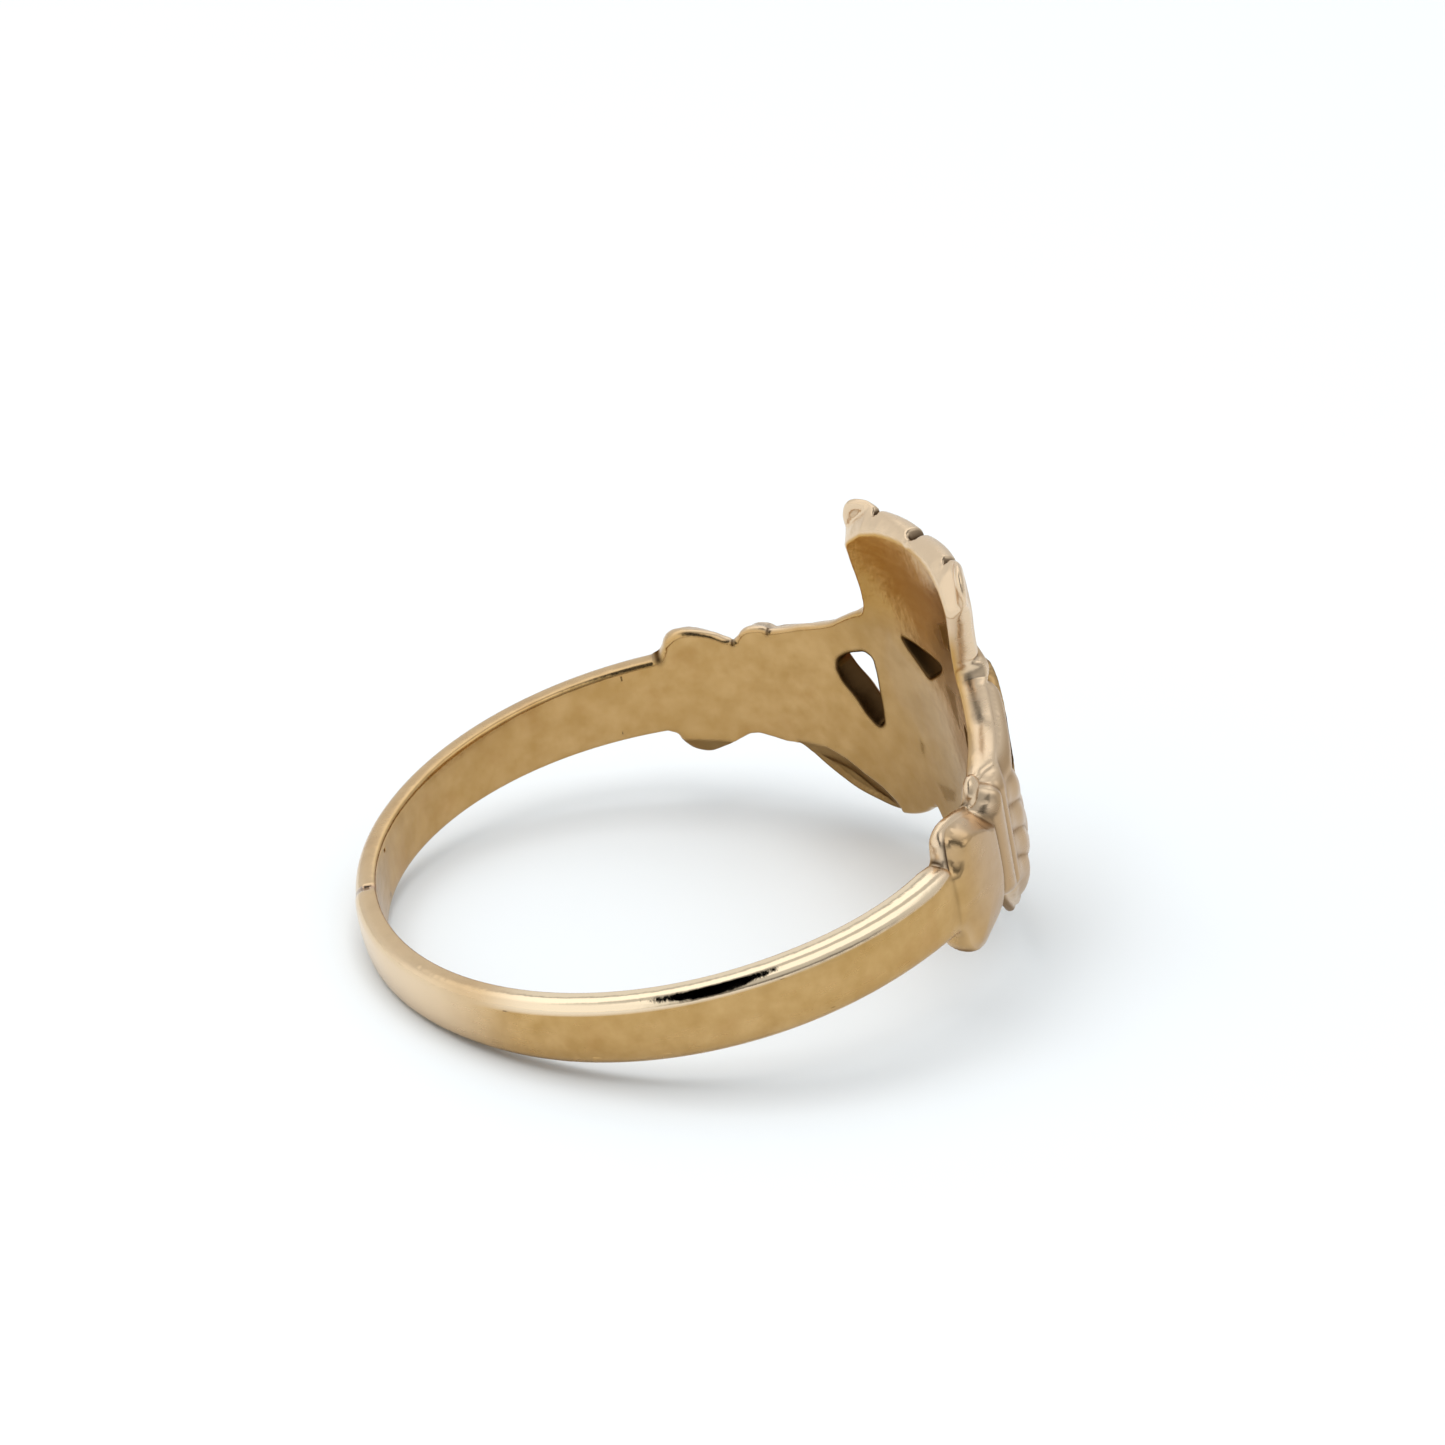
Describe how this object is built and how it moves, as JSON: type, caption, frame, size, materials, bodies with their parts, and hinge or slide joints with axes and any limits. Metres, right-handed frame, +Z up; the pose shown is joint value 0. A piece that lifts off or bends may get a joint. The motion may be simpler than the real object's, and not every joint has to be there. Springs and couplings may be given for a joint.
{
  "type": "claddagh ring",
  "caption": "Gold finger ring: a crowned heart held between two hands with flared cuffs, on a plain tapering band; lies on its side.",
  "frame": {"origin": "bottom centre of the ring's bounding box as it lies on a surface, resting on the heart's point and the back of the band", "axes": "+Z up from the surface; +X from the back of the band towards the heart; +Y to the wearer's side, across the hands; the crown is up"},
  "size_m": [0.0194, 0.019, 0.0113],
  "materials": {
    "gold": "satin, polished along the edges by wear"
  },
  "bodies": {
    "root": {"ring": "gold"}
  },
  "joints": []
}
